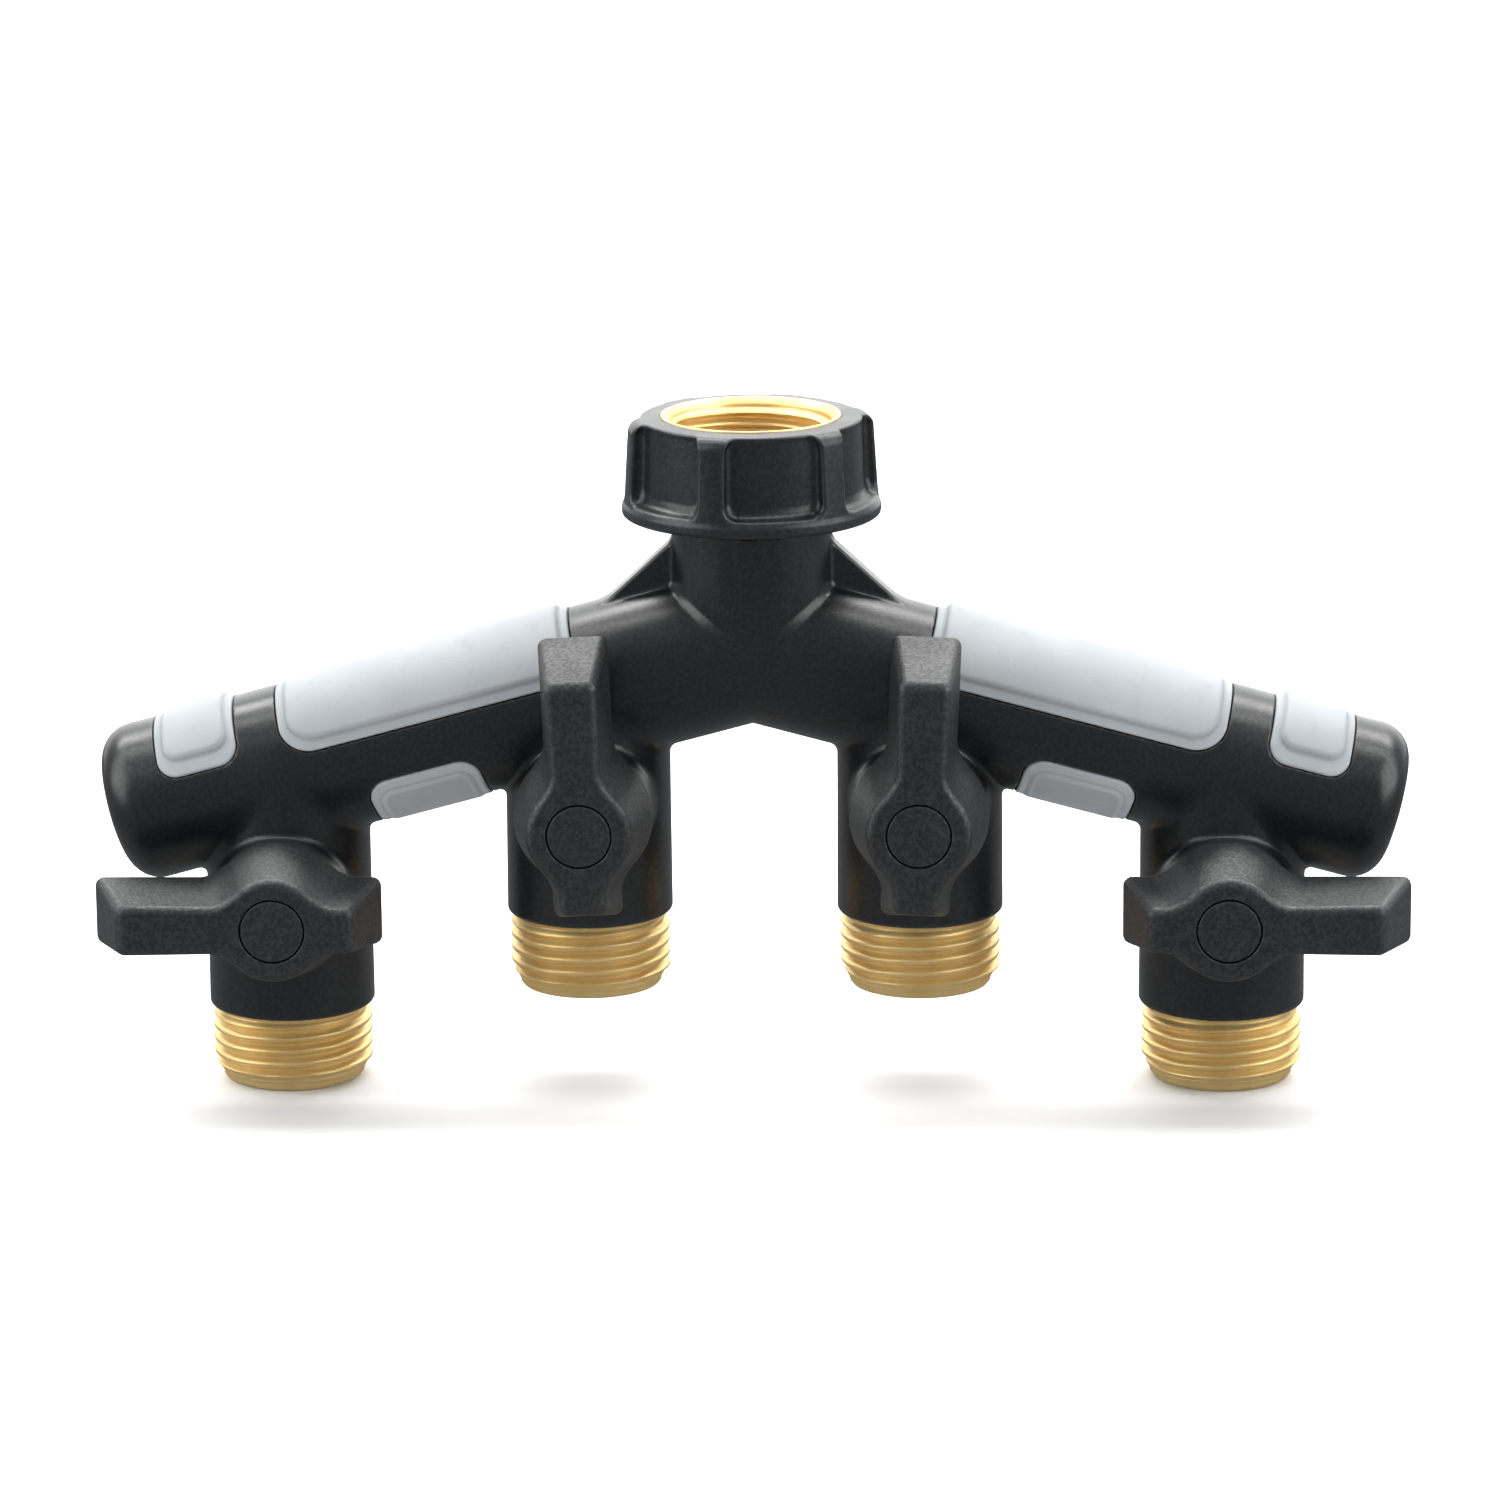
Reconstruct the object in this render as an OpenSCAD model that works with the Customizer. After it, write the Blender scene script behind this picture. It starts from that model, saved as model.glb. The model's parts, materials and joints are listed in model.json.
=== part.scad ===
/* [Manifold body] */
// Distance from the inlet axis to each inner outlet
inner_x = 27.95; // [26.5:0.05:30]
// Distance from the inlet axis to each outer outlet
outer_x = 79; // [77:0.5:82]
// Height of the inner valve axes above the inlet thread's middle (below it, so negative)
inner_z = -58.4; // [-62:0.1:-58]
// Height of the outer valve axes
outer_z = -74.6; // [-80:0.1:-73]
// Slope of each arm below the horizontal, in degrees
arm_slope = 15; // [13:0.5:15.5]
// Height at which the two arm axes meet on the inlet axis
arm_top_z = -32.75; // [-33:0.05:-32]
// Outer radius of each arm
arm_r = 13.4; // [13.2:0.1:13.6]
// Radius of the water channel inside each arm
channel_r = 6.5; // [5:0.1:6.6]
// Distance along the arm from the inlet axis to the joint line of the end cap
arm_len = 105.6; // [104:0.2:108]
// Distance along the arm from the inlet axis to the tip of the end cap
tip_len = 112.3; // [112:0.1:113]
// Outer radius of the neck below the coupling nut
neck_r = 13.5; // [13.2:0.1:14]
// Outer radius of each outlet barrel
barrel_r = 13.9; // [13.7:0.1:14.2]

/* [Grips] */
// Depth that a grip is let into the arm
grip_inlay = 1; // [0.8:0.1:1.5]
// Height of a grip's border above the arm
grip_border = 0.15; // [0.1:0.05:0.3]
// Height of the raised panel of a long grip or an end grip above the arm
grip_panel = 1.1; // [0.7:0.05:1.2]
// Height of an under grip's raised panel above the arm
under_panel = 0.4; // [0.3:0.05:0.6]

/* [Inlet coupling] */
// Radius of the inlet thread's crests, 3/4 inch garden hose
inlet_minor_r = 12.35; // [12.3:0.05:12.4]
// Outer radius of the brass threaded insert
insert_r = 15.1; // [14.8:0.1:15.4]
// Largest radius of the coupling nut
nut_r = 21.55; // [21:0.05:23]
// Number of flutes around the coupling nut
flutes = 6; // [5:1:8]

/* [Outlets] */
// Radius of the outlet thread's crests, 3/4 inch garden hose
outlet_major_r = 13.495; // [13.4:0.005:13.5]
// Thread pitch of the inlet and the outlets, 11.5 threads per inch
pitch = 2.209; // [2.1:0.001:2.25]
// Number of thread crests on each outlet and in the inlet
crests = 5; // [3:1:5]
// Drop from a valve axis to the lower end of its barrel
barrel_drop = 20.8; // [20.6:0.1:22]
// Drop from a valve axis to the rim of its outlet
rim_drop = 33.6; // [33.5:0.1:36]

/* [Valves] */
// Radius of each valve ball
ball_r = 8.5; // [8.3:0.1:8.6]
// Radius of the water bore through each ball
ball_bore_r = 4.75; // [4:0.05:5]
// Lean of an inner valve's open lever away from the inlet axis, in degrees
inner_lean = 2.5; // [0:0.5:3]
// Radius of the valve stem
stem_r = 3.9; // [3.8:0.05:4]
// Distance from the barrel's axis to the back of the handle
handle_back = 18; // [18:0.1:19]
// Distance from the barrel's axis to the front of the handle
handle_front = 31.5; // [31.3:0.1:32]
// Reach of the handle's lever from its pivot, at the back
lever_back = 30.8; // [28:0.1:32]
// Reach of the handle's lever from its pivot, at the front
lever_front = 25.7; // [23:0.1:27]
// Reach of the handle's stub on the other side, at the back
stub_back = 17.3; // [15:0.1:18]
// Reach of the handle's stub, at the front
stub_front = 13.4; // [12:0.1:14.5]
// Width of the lever at its back
lever_w_back = 11.7; // [10:0.1:13]
// Width of the lever at its front
lever_w_front = 7.8; // [7:0.1:9]

/* [Hidden] */
SIDES = ["left", "right"];
$fn = 96;
eps = 0.5;

BLACK = [0.13, 0.14, 0.15];
GREY = [0.76, 0.79, 0.82];
BRASS = [0.80, 0.64, 0.32];
RUBBER = [0.08, 0.08, 0.08];
PTFE = [0.93, 0.93, 0.9];
STEEL = [0.72, 0.73, 0.75];

// Valves run from 1 at the far left to 4 at the far right.
VALVE_X = [-outer_x, -inner_x, inner_x, outer_x];
VALVE_Z = [outer_z, inner_z, inner_z, outer_z];
// An open valve's lever points up, and a closed one's points away from the inlet.
VALVE_TURN = [-90, 0, 0, -90];
VALVE_LEAN = [0, inner_lean, inner_lean, 0];

// Thread form: 60 degree flanks between narrow flats.
crest_w = 0.5;
thread_h = 1.1;
flank_w = thread_h * tan(30);
thread_len = (crests - 1) * pitch + crest_w;
outlet_thread_z = -rim_drop + 7.32;

// Inlet coupling, from the washer seat down to the neck.
nut_bottom = -12;
neck_top = -12.4;
flange_top = -8.3;
flange_bottom = -10.15;
lip_top = -10.45;
flange_r = 12.6;
counterbore_r = 12.9;
tail_r = 10;
tail_bore_r = 7;
tail_end = -24;
tail_oring_z = -18;
swivel_gap = 0.08;
rib_w_deg = 13.5;
first_rib_deg = -47.2;

gusset_thick = 5;
flute_depth = 2.6;
flute_bottom = -7.4;

// Valve cavity in each barrel, measured from the valve axis.
cavity_r = 8.8;
cavity_half = 8.2;
port_r = 5;
seat_thick = 3;
seat_gap = 0.08;
sleeve_r = 10.5;
nipple_bore_r = 9;
nipple_oring_drop = 11.5;
boss_r = 11.3;
boss_front = 17.6;

// Stem, from the ball's slot out to the square under the handle.
tang_w = 3.4;
tang_len = 9;
tang_in = 6.2;
collar_r = 4.8;
collar_in = 8.7;
collar_out = 10.2;
pocket_gap = 0.1;
stem_gap = 0.07;
square_w = 5.5;
square_out = 24.4;
screw_r = 1.5;
oring_minor = 0.7;
STEM_ORINGS = [12.4, 15.2];

// Handle hub, its screw pocket and the quarter-turn stop.
hub_back_r = 11.8;
hub_front_r = 8.6;
web_in = 24.5;
web_out = 26.5;
pocket_r = 4.6;
cap_r = 5.25;
cap_seat = 30.1;
cap_recess_r = 5.5;
stop_r_in = 7.4;
stop_r_out = 9.2;
stop_h = 1.7;
stop_half_deg = 10;
stop_play = 0.35;

function side_sign(side) = side == "left" ? -1 : 1;
function arm_axis_z(x) = arm_top_z - abs(x) * tan(arm_slope);
// A thread ridge's section, from its lower root to its upper one, at a height z.
function ridge(root_r, crest_r, z) = [
    [root_r, z - crest_w / 2 - flank_w],
    [crest_r, z - crest_w / 2],
    [crest_r, z + crest_w / 2],
    [root_r, z + crest_w / 2 + flank_w]
];
function ridges(root_r, crest_r, middle) = [
    for (k = [0 : crests - 1])
        each ridge(root_r, crest_r, middle + (k - (crests - 1) / 2) * pitch)
];

// Local z runs out along an arm's axis, local y up from it and local x to the back.
module along_arm(side)
    translate([0, 0, arm_top_z])
        mirror([side == "left" ? 1 : 0, 0, 0])
            rotate([0, arm_slope, 0]) rotate([90, 0, 90]) children();

// Local axes as the row's, with the origin where the valve axis meets the barrel's.
module over_valve(i) translate([VALVE_X[i - 1], 0, VALVE_Z[i - 1]]) children();

// Local z points to the front along the valve axis, local y the way its open lever does (up, or leaning
// a little) and local x away from the inlet.
module facing_valve(i)
    over_valve(i) mirror([VALVE_X[i - 1] < 0 ? 1 : 0, 0, 0])
        rotate([90, 0, 0]) rotate([0, 0, -VALVE_LEAN[i - 1]]) children();

// The same, turned with the valve: local y points along the lever.
module on_stem(i) facing_valve(i) rotate([0, 0, VALVE_TURN[i - 1]]) children();

module tube(r_in, r_out, z0, z1)
    translate([0, 0, z0]) difference() {
        cylinder(r = r_out, h = z1 - z0);
        translate([0, 0, -eps]) cylinder(r = r_in, h = z1 - z0 + 2 * eps);
    }

module oring(r, minor, z) translate([0, 0, z]) rotate_extrude() translate([r, 0]) circle(minor, $fn = 32);

// A band wrapped over the arm from the front edge at deg above its side to the same at the back.
module arm_band(s0, s1, deg, r_in, r_out)
    translate([0, 0, s0]) rotate([0, 0, deg])
        rotate_extrude(angle = 180 - 2 * deg) translate([r_in, 0]) square([r_out - r_in, s1 - s0]);

// A grip's border with its raised panel inside, both wrapped over the arm.
module grip_pair(s, panel_s, deg, panel_deg, panel) {
    arm_band(s[0], s[1], deg, arm_r - grip_inlay, arm_r + grip_border);
    arm_band(panel_s[0], panel_s[1], panel_deg, arm_r - grip_inlay, arm_r + panel);
}

module long_grip_shape() grip_pair([28.6, 79.7], [30.3, 77.9], 16.3, 24.9, grip_panel);
module end_grip_shape() grip_pair([87.3, 101], [88.9, 99.4], 22.8, 35.5, grip_panel);
module under_grip_shape() rotate([0, 0, 180]) grip_pair([49, 68], [50.6, 66.4], 19.3, 28.1, under_panel);

// Gusset plates in the plane of the outlets, between the neck and the arms.
module gusset()
    rotate([90, 0, 0]) linear_extrude(gusset_thick, center = true)
        polygon([[11, -15.2], [neck_r, -15.2], [25.1, -25.9], [25.1, -33], [11, -33]]);

module barrel_shape(i) over_valve(i) {
    top = arm_axis_z(VALVE_X[i - 1]) - VALVE_Z[i - 1];
    translate([0, 0, -barrel_drop]) cylinder(r1 = barrel_r - 0.5, r2 = barrel_r, h = 0.6);
    translate([0, 0, 0.6 - barrel_drop]) cylinder(r = barrel_r, h = barrel_drop + top - 8.6);
    translate([0, 0, top - 8]) cylinder(r1 = barrel_r, r2 = arm_r - 0.2, h = 8);
}

// The round boss that carries the stem, with the lug that stops the handle.
module stem_boss(i) facing_valve(i) {
    cylinder(r = boss_r, h = boss_front);
    rotate([0, 0, 225 - stop_half_deg]) translate([0, 0, boss_front - eps])
        rotate_extrude(angle = 2 * stop_half_deg)
            translate([stop_r_in, 0]) square([stop_r_out - stop_r_in, stop_h + eps]);
}

module barrel_bores(i) {
    over_valve(i) {
        translate([0, 0, -cavity_half]) cylinder(r = cavity_r, h = 2 * cavity_half);
        translate([0, 0, -barrel_drop - eps]) cylinder(r = sleeve_r, h = barrel_drop + eps - cavity_half);
        cylinder(r = port_r, h = arm_axis_z(VALVE_X[i - 1]) - VALVE_Z[i - 1]);
    }
    facing_valve(i) {
        cylinder(r = collar_r + pocket_gap, h = collar_out + pocket_gap);
        cylinder(r = stem_r + stem_gap, h = boss_front + eps);
    }
}

module manifold_body() color(BLACK) difference() {
    union() {
        translate([0, 0, arm_top_z]) cylinder(r = neck_r, h = neck_top - arm_top_z);
        for (side = SIDES) {
            along_arm(side) cylinder(r = arm_r, h = arm_len);
            mirror([side == "left" ? 1 : 0, 0, 0]) gusset();
        }
        for (i = [1 : 4]) {
            barrel_shape(i);
            stem_boss(i);
        }
    }
    translate([0, 0, tail_end]) cylinder(r = tail_r, h = neck_top - tail_end + eps);
    translate([0, 0, arm_top_z]) cylinder(r = tail_bore_r, h = neck_top - arm_top_z);
    for (side = SIDES) along_arm(side) {
        cylinder(r = channel_r, h = arm_len + eps);
        long_grip_shape();
        end_grip_shape();
        under_grip_shape();
    }
    for (i = [1 : 4]) barrel_bores(i);
}

// A plug welded into the arm's end, with a domed head that has rounded shoulders.
module arm_end_cap(side) {
    shoulder = 5.5;
    crown = tip_len - 0.6;
    plug_len = 4.6;
    color(BLACK) along_arm(side) rotate_extrude() polygon([
        [0, arm_len - plug_len],
        [channel_r, arm_len - plug_len],
        [channel_r, arm_len],
        [arm_r, arm_len],
        for (a = [0 : 10 : 90]) [
            arm_r - shoulder + shoulder * cos(a),
            crown - shoulder + shoulder * sin(a)
        ],
        [3.5, tip_len],
        [0, tip_len]
    ]);
}

module long_grip(side) color(GREY) along_arm(side) long_grip_shape();
module end_grip(side) color(GREY) along_arm(side) end_grip_shape();
module under_grip(side) color(GREY) along_arm(side) under_grip_shape();

// Hand nut moulded over the brass insert, with flutes sunk between its ribs.
module coupling_nut() color(BLACK) {
    flute_deg = 360 / flutes - rib_w_deg;
    flute_floor_r = nut_r - flute_depth;
    difference() {
        rotate_extrude() polygon([
            [insert_r, nut_bottom],
            [nut_r - 3, nut_bottom],
            [nut_r - 0.35, -10.8],
            [nut_r, -9.8],
            [nut_r - 0.2, -8.2],
            [nut_r - 0.6, 0],
            [nut_r - 0.9, 3.3],
            [nut_r - 1.4, 4.4],
            [nut_r - 2.2, 5.35],
            [nut_r - 3, 5.75],
            [insert_r, 5.9]
        ]);
        for (k = [0 : flutes - 1])
            rotate([0, 0, first_rib_deg + rib_w_deg / 2 + k * 360 / flutes])
                translate([0, 0, flute_bottom]) rotate_extrude(angle = flute_deg)
                    translate([flute_floor_r, 0]) square([4, 16]);
    }
}

// Brass ring with the hose thread above and the swivel lip below.
module coupling_insert() color(BRASS) rotate_extrude() polygon([
    [insert_r, nut_bottom],
    [insert_r, 5.9],
    [insert_r - 0.2, 6.1],
    [inlet_minor_r + thread_h + 0.5, 6.1],
    [inlet_minor_r + thread_h, 5.6],
    each [for (k = [crests * 4 - 1 : -1 : 0]) ridges(inlet_minor_r + thread_h, inlet_minor_r, 0)[k]],
    [inlet_minor_r + thread_h, -5.4],
    [counterbore_r, -5.6],
    [counterbore_r, lip_top],
    [tail_r + swivel_gap, lip_top],
    [tail_r + swivel_gap, nut_bottom]
]);

// Tail pressed into the neck: its flange carries the washer and holds the coupling on.
module inlet_tail() color(BRASS) rotate_extrude() polygon([
    [tail_bore_r, tail_end],
    [tail_r - 0.4, tail_end],
    [tail_r, tail_end + 0.4],
    [tail_r, tail_oring_z - 0.9],
    [tail_r - 1.6, tail_oring_z - 0.9],
    [tail_r - 1.6, tail_oring_z + 0.9],
    [tail_r, tail_oring_z + 0.9],
    [tail_r, flange_bottom],
    [flange_r, flange_bottom],
    [flange_r, flange_top],
    [tail_bore_r + 0.6, flange_top],
    [tail_bore_r, flange_top - 0.6]
]);

module tail_oring() color(RUBBER) oring(tail_r - 0.82, 0.78, tail_oring_z);

module inlet_washer() color(RUBBER) tube(7.6, 12.3, flange_top, -5.5);

// Conical strainer hung from a flat rim inside the washer.
module filter_screen() {
    rim_z = -6.8;
    mesh_t = 0.4;
    cone_drop = 4.4;
    color(STEEL) rotate_extrude() polygon([
        [0, rim_z - cone_drop - mesh_t],
        [2.2, rim_z - cone_drop - mesh_t],
        [6.1, rim_z - mesh_t],
        [7.6, rim_z - mesh_t],
        [7.6, rim_z],
        [5.8, rim_z],
        [2, rim_z - cone_drop],
        [0, rim_z - cone_drop]
    ]);
}

// Brass outlet: a plain sleeve up inside the barrel and the hose thread below it.
module outlet_nipple(i) {
    root_r = outlet_major_r - thread_h;
    color(BRASS) over_valve(i) rotate_extrude() polygon([
        [nipple_bore_r, -rim_drop],
        [11.4, -rim_drop],
        [12, 0.6 - rim_drop],
        [12, 1.3 - rim_drop],
        [root_r, 1.7 - rim_drop],
        each ridges(root_r, outlet_major_r, outlet_thread_z),
        [root_r, -barrel_drop],
        [sleeve_r, -barrel_drop],
        [sleeve_r, -nipple_oring_drop - 0.9],
        [sleeve_r - 1.65, -nipple_oring_drop - 0.9],
        [sleeve_r - 1.65, -nipple_oring_drop + 0.9],
        [sleeve_r, -nipple_oring_drop + 0.9],
        [sleeve_r, -cavity_half],
        [port_r, -cavity_half],
        [port_r, -cavity_half - 6],
        [nipple_bore_r, -cavity_half - 10]
    ]);
}

module nipple_oring(i) color(RUBBER) over_valve(i) oring(sleeve_r - 0.85, 0.78, -nipple_oring_drop);

// Seat ring with a hollow face that follows the ball.
module seat_ring() difference() {
    translate([0, 0, cavity_half - seat_thick]) cylinder(r = cavity_r, h = seat_thick);
    sphere(ball_r + seat_gap);
    cylinder(r = port_r, h = cavity_half + eps);
}

module upper_seat(i) color(PTFE) over_valve(i) seat_ring();
module lower_seat(i) color(PTFE) over_valve(i) mirror([0, 0, 1]) seat_ring();

// Ball with its bore along the lever and the stem's slot across it.
module ball(i) color(STEEL) on_stem(i) difference() {
    sphere(ball_r);
    rotate([90, 0, 0]) cylinder(r = ball_bore_r, h = 3 * ball_r, center = true);
    translate([-ball_r, -tang_w / 2 - 0.05, tang_in - 0.1]) cube([2 * ball_r, tang_w + 0.1, ball_r]);
}

// Stem: tang, collar inside the barrel wall, sealed shaft and the square for the handle.
module stem(i) color(BRASS) on_stem(i) difference() {
    union() {
        translate([-tang_len / 2, -tang_w / 2, tang_in]) cube([tang_len, tang_w, collar_in + 0.3 - tang_in]);
        translate([0, 0, collar_in]) cylinder(r = collar_r, h = collar_out - collar_in);
        translate([0, 0, collar_in]) cylinder(r = stem_r, h = handle_back - collar_in);
        translate([0, 0, square_out / 2 + 8]) cube([square_w, square_w, square_out - 16], center = true);
    }
    for (d = STEM_ORINGS) tube(stem_r - 2 * oring_minor - 0.03, stem_r + 1, d - 0.8, d + 0.8);
    translate([0, 0, square_out - 6.4]) cylinder(r = screw_r, h = 7);
}

module stem_orings(i) color(RUBBER) on_stem(i)
    for (d = STEM_ORINGS) oring(stem_r - oring_minor, oring_minor, d);

// Lever and stub with sloping sides and ends: narrow and short at the front, wide at the back.
module lever_block() intersection() {
    rotate([90, 0, 0]) linear_extrude(100, center = true) polygon([
        [-lever_w_back / 2, handle_back],
        [lever_w_back / 2, handle_back],
        [lever_w_front / 2, handle_front],
        [-lever_w_front / 2, handle_front]
    ]);
    rotate([90, 0, 90]) linear_extrude(40, center = true) polygon([
        [-stub_back, handle_back],
        [lever_back, handle_back],
        [lever_front, handle_front],
        [-stub_front, handle_front]
    ]);
}

module handle(i) {
    stop_slot_deg = 90 + 2 * stop_half_deg + 2 * stop_play / stop_r_in * 180 / PI;
    color(BLACK) on_stem(i) difference() {
        union() {
            lever_block();
            translate([0, 0, handle_back]) cylinder(r1 = hub_back_r, r2 = hub_front_r, h = handle_front - handle_back);
        }
        translate([0, 0, (handle_back + web_in) / 2 - eps])
            cube([square_w + 0.1, square_w + 0.1, web_in - handle_back + 2 * eps], center = true);
        cylinder(r = screw_r + 0.2, h = handle_front);
        translate([0, 0, web_out]) cylinder(r = pocket_r, h = handle_front);
        translate([0, 0, cap_seat]) cylinder(r = cap_recess_r, h = handle_front);
        rotate([0, 0, 270 - stop_slot_deg / 2]) translate([0, 0, handle_back - eps])
            rotate_extrude(angle = stop_slot_deg) translate([stop_r_in - stop_play, 0])
                square([stop_r_out - stop_r_in + 2 * stop_play, stop_h + eps]);
    }
}

module handle_screw(i) color(STEEL) on_stem(i) difference() {
    union() {
        translate([0, 0, web_out]) cylinder(r = 3.4, h = 2);
        translate([0, 0, square_out - 6]) cylinder(r = screw_r - 0.02, h = web_out - square_out + 6.5);
    }
    translate([0, 0, web_out + 1.1]) linear_extrude(2) {
        square([4, 0.9], center = true);
        square([0.9, 4], center = true);
    }
}

module handle_cap(i) color(BLACK) on_stem(i) {
    translate([0, 0, cap_seat]) cylinder(r = cap_r, h = handle_front - cap_seat);
    tube(3.8, pocket_r - 0.02, cap_seat - 1.2, cap_seat + 0.4);
}

manifold_body();
for (side = SIDES) {
    arm_end_cap(side);
    long_grip(side);
    end_grip(side);
    under_grip(side);
}
coupling_nut();
coupling_insert();
inlet_tail();
tail_oring();
inlet_washer();
filter_screen();
for (i = [1 : 4]) {
    outlet_nipple(i);
    nipple_oring(i);
    upper_seat(i);
    lower_seat(i);
    ball(i);
    stem(i);
    stem_orings(i);
    handle(i);
    handle_screw(i);
    handle_cap(i);
}
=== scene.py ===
"""Four-way hose splitter: moulded manifold, soft grips, brass threads and quarter-turn levers.

The shapes are built in millimetres in the frame's own axes, +Z up the inlet and -Y to the front, and
become metres when a mesh is made. Moulded pieces are distance fields, which round every edge and fill
every inner corner with a true radius; turned pieces are profiles spun round an axis.
"""
import json
import math

import bmesh
import bpy
import numpy as np
from mathutils import Matrix, Vector


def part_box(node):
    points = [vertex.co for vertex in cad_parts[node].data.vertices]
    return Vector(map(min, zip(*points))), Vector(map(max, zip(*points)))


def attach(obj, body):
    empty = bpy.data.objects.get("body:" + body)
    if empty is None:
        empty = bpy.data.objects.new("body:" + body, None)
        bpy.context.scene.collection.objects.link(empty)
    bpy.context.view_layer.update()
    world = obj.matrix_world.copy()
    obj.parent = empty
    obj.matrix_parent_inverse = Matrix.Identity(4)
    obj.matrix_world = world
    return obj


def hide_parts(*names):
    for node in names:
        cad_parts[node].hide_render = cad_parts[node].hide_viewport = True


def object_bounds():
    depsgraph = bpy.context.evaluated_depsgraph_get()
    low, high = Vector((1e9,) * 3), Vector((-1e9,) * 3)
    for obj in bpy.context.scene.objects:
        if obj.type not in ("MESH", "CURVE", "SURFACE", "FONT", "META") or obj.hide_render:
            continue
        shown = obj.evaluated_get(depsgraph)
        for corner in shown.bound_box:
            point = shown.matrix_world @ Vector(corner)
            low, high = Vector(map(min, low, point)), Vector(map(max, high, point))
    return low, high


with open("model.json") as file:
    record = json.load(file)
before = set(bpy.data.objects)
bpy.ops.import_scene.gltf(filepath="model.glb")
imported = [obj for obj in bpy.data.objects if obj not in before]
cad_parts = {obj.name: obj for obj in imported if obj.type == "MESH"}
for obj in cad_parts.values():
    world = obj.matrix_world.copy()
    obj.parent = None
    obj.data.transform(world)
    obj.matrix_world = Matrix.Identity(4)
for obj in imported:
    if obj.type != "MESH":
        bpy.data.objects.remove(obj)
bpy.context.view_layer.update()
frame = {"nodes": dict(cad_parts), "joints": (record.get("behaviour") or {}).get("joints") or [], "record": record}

MM = 0.001
TAU = 2 * math.pi

# ---------------------------------------------------------------- dimensions, mm
PIVOTS = {j["name"][6]: Vector(j["pos_m"]) / MM for j in frame["joints"] if j["name"].startswith("valve")}
INNER_X, INNER_Z = PIVOTS["3"].x, PIVOTS["3"].z
OUTER_X, OUTER_Z = PIVOTS["4"].x, PIVOTS["4"].z
LEAN = math.radians(2.5)
# Where each lever points at rest: the inner ones lean a little away from the inlet.
LEVERS = {"1": (-1, 0, 0), "2": (-math.sin(LEAN), 0, math.cos(LEAN)),
          "3": (math.sin(LEAN), 0, math.cos(LEAN)), "4": (1, 0, 0)}

ARM_SLOPE = math.radians(15)
ARM_TOP_Z = -32.75
ARM_R, ARM_LEN, TIP_LEN = 13.4, 105.6, 112.3
CHANNEL_R = 6.5
NECK_R, NECK_TOP = 13.4, -12.4
BARREL_R, BARREL_DROP, RIM_DROP = 13.9, 20.8, 33.6
BOSS_R, BOSS_FRONT = 11.3, 17.6
THREAD_R, THREAD_H, PITCH = 13.495, 1.1, 2.209
INLET_R, INSERT_R, NUT_R = 12.35, 15.1, 21.55
HANDLE_BACK, HANDLE_FRONT, CAP_SEAT = 18.0, 31.5, 30.1

# Inside each barrel: valve cavity, nipple sleeve, port, stem collar and stem hole.
CAVITY_R, CAVITY_HALF, SLEEVE_R, PORT_R = 8.8, 8.2, 10.5, 5.0
COLLAR_R, COLLAR_END, STEM_HOLE_R = 4.9, 10.3, 3.97
TAIL_R, TAIL_BORE_R, TAIL_END = 10.0, 7.0, -24.0

# Levers: reach and half width at the back, and how much each gives up towards the front.
LEVER_REACH, LEVER_REACH_LOSS = 30.75, 5.05
STUB_REACH, STUB_REACH_LOSS = 17.25, 3.9
LEVER_HALF_W, LEVER_HALF_W_LOSS = 5.85, 2.1
HUB_R, HUB_R_LOSS = 11.75, 3.2
SQUARE_HALF, SQUARE_END, SCREW_HOLE_R, POCKET_R, POCKET_FLOOR = 2.8, 24.5, 1.7, 4.6, 26.5
STOP_IN, STOP_OUT, STOP_TOP, STOP_HALF_DEG = 7.4, 9.2, 19.25, 10
STOP_PLAY, STOP_SLOT_HALF_DEG = 0.35, 57.7

# Grips: which side of the arm they lie on and the raised panel's height, then for the border and for the
# panel its middle along the arm, half its length, half its wrap in degrees and its corner radius.
GRIPS = {
    "long_grip": {"up": 1, "rise": 1.1, "border": (54.15, 25.55, 73.7, 5.5), "panel": (54.1, 23.8, 65.1, 4.4)},
    "end_grip": {"up": 1, "rise": 1.1, "border": (94.15, 6.85, 67.2, 3.4), "panel": (94.15, 5.25, 54.5, 2.3)},
    "under_grip": {"up": -1, "rise": 0.4, "border": (58.5, 9.5, 70.7, 3.6), "panel": (58.5, 7.9, 61.9, 2.6)},
}
GRIP_INLAY, GRIP_BORDER = 1.0, 0.15

# Nut: its taper and its flutes, each with half its width, its middle above its ledge and its depth.
FLUTES, FIRST_RIB, NUT_RIM_SLOPE = 6, math.radians(-47.2), math.radians(3)
NUT_TOP, NUT_BOTTOM, NUT_TAPER = 5.9, -12.0, 0.061
FLUTE_BOTTOM, FLUTE_HALF_W, FLUTE_HALF_H, FLUTE_DEPTH, FLUTE_WALL_R = -7.45, 8.35, 6.15, 2.9, 20.4


# ---------------------------------------------------------------- distance fields
def round_both(a, b, r):
    """What lies in both shapes, with the edge between them rounded to radius r."""
    return np.minimum(-r, np.maximum(a, b)) + np.hypot(np.maximum(a + r, 0), np.maximum(b + r, 0))


def blend_either(a, b, r):
    """What lies in either shape, with the inner corner between them filled to radius r."""
    return np.maximum(r, np.minimum(a, b)) - np.hypot(np.maximum(r - a, 0), np.maximum(r - b, 0))


def cut(a, b, r):
    """Shape a without shape b, with the rim of the cut rounded to radius r."""
    return round_both(a, -b, r)


def span(t, low, high):
    """The slab from low to high."""
    return np.maximum(low - t, t - high)


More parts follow.
